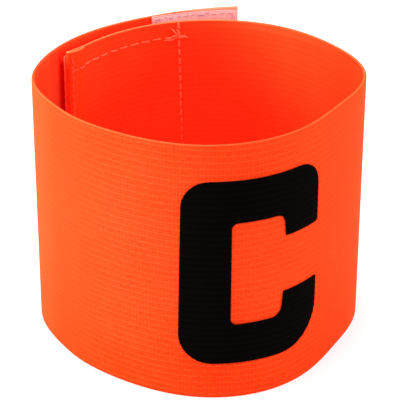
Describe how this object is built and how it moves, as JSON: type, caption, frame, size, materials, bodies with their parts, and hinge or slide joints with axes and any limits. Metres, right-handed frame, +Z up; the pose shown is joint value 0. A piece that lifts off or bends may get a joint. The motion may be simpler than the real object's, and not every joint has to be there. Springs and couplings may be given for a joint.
{
  "type": "captain armband",
  "caption": "Elastic captain armband closed into a standing loop by a hook and loop patch, with a flocked block letter on the front.",
  "frame": {"origin": "middle of the armband's box in plan, on the surface that it stands on", "axes": "+Z up along the loop's axis, -Y towards the front with the letter, +X to the right seen from the front"},
  "size_m": [0.0938, 0.1008, 0.0767],
  "materials": {
    "webbing": "fluorescent orange ribbed elastic webbing, matt",
    "loop_pile": "brushed red-orange loop pile",
    "hook_tape": "pale pink nylon hook tape",
    "black_flock": "matt black flock"
  },
  "bodies": {
    "root": {"band": "webbing", "loop_patch": "loop_pile", "hook_patch": "hook_tape", "letter_c": "black_flock"}
  },
  "joints": []
}
